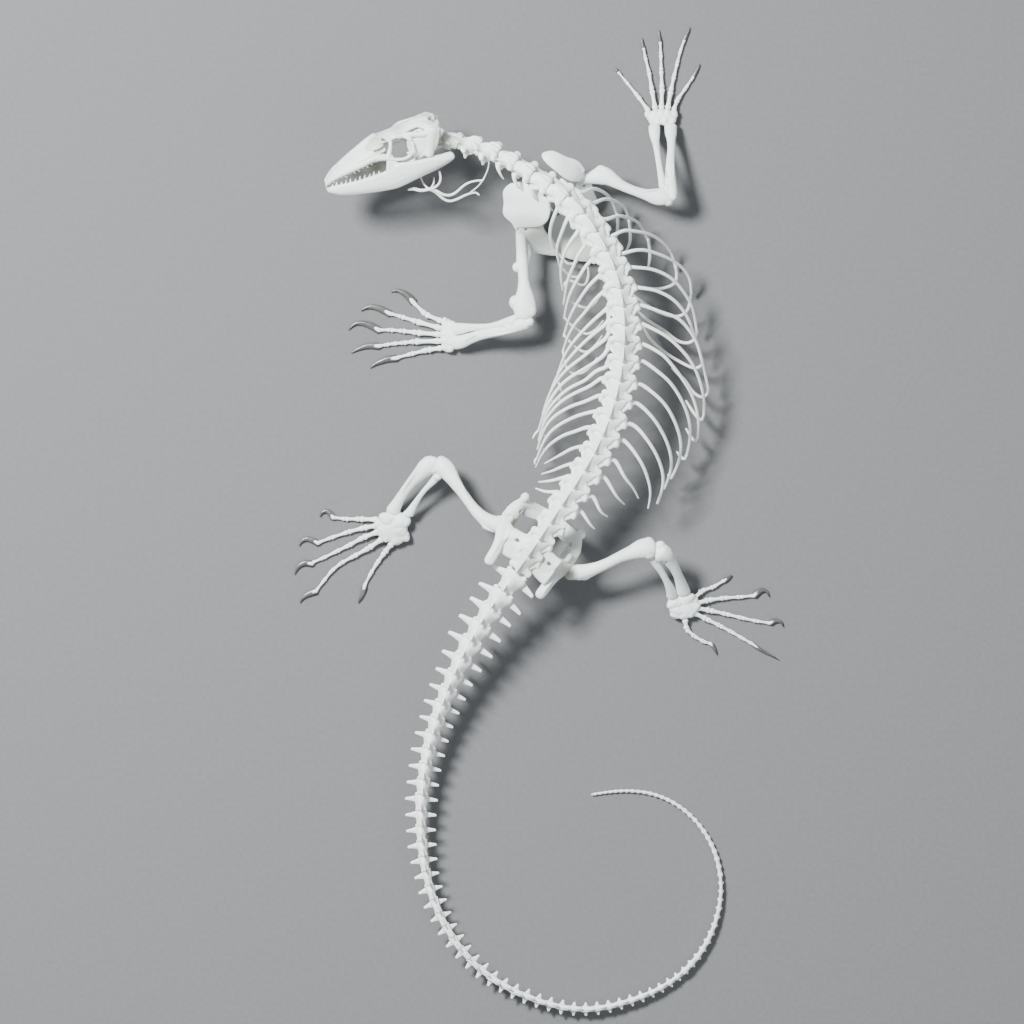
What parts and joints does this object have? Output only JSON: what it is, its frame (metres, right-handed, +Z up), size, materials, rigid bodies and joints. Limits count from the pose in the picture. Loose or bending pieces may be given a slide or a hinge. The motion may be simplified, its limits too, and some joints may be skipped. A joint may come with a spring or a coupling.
{
  "type": "monitor lizard skeleton",
  "caption": "Articulated skeleton of an adult monitor lizard crawling with its head turned aside and its long tail curled into a hook, life size.",
  "frame": {"origin": "centre of the bounding box at the floor the feet stand on", "axes": "+Z up, +Y from the curled tail towards the head and the right hand, +X towards the animal's right side"},
  "size_m": [0.4896, 0.9891, 0.1104],
  "materials": {
    "bone": "matte, dry cleaned bone",
    "cartilage": "matte, dried greyish cartilage",
    "horn": "semi-gloss dark horn of the claws"
  },
  "bodies": {
    "root": {"skull": "bone", "mandible_left": "bone", "mandible_right": "bone", "neck": "bone", "torso_left": "bone", "torso_right": "bone", "sacrum": "bone", "tail_base": "bone", "tail_2": "bone", "tail_3": "bone", "tail_4": "bone", "tail_5": "bone", "tail_tip": "bone", "shoulder_left": "bone", "shoulder_right": "bone", "hyoid": "cartilage", "sternum": "cartilage", "humerus_left": "bone", "radius_left": "bone", "ulna_left": "bone", "hand_left": "bone", "pelvis_left": "bone", "femur_left": "bone", "tibia_left": "bone", "fibula_left": "bone", "foot_left": "bone", "humerus_right": "bone", "radius_right": "bone", "ulna_right": "bone", "hand_right": "bone", "pelvis_right": "bone", "femur_right": "bone", "tibia_right": "bone", "fibula_right": "bone", "foot_right": "bone", "claw_hand_left_1": "horn", "claw_hand_left_2": "horn", "claw_hand_left_3": "horn", "claw_hand_left_4": "horn", "claw_hand_left_5": "horn", "claw_hand_right_1": "horn", "claw_hand_right_2": "horn", "claw_hand_right_3": "horn", "claw_hand_right_4": "horn", "claw_hand_right_5": "horn", "claw_foot_left_1": "horn", "claw_foot_left_2": "horn", "claw_foot_left_3": "horn", "claw_foot_left_4": "horn", "claw_foot_left_5": "horn", "claw_foot_right_1": "horn", "claw_foot_right_2": "horn", "claw_foot_right_3": "horn", "claw_foot_right_4": "horn", "claw_foot_right_5": "horn"}
  },
  "joints": []
}
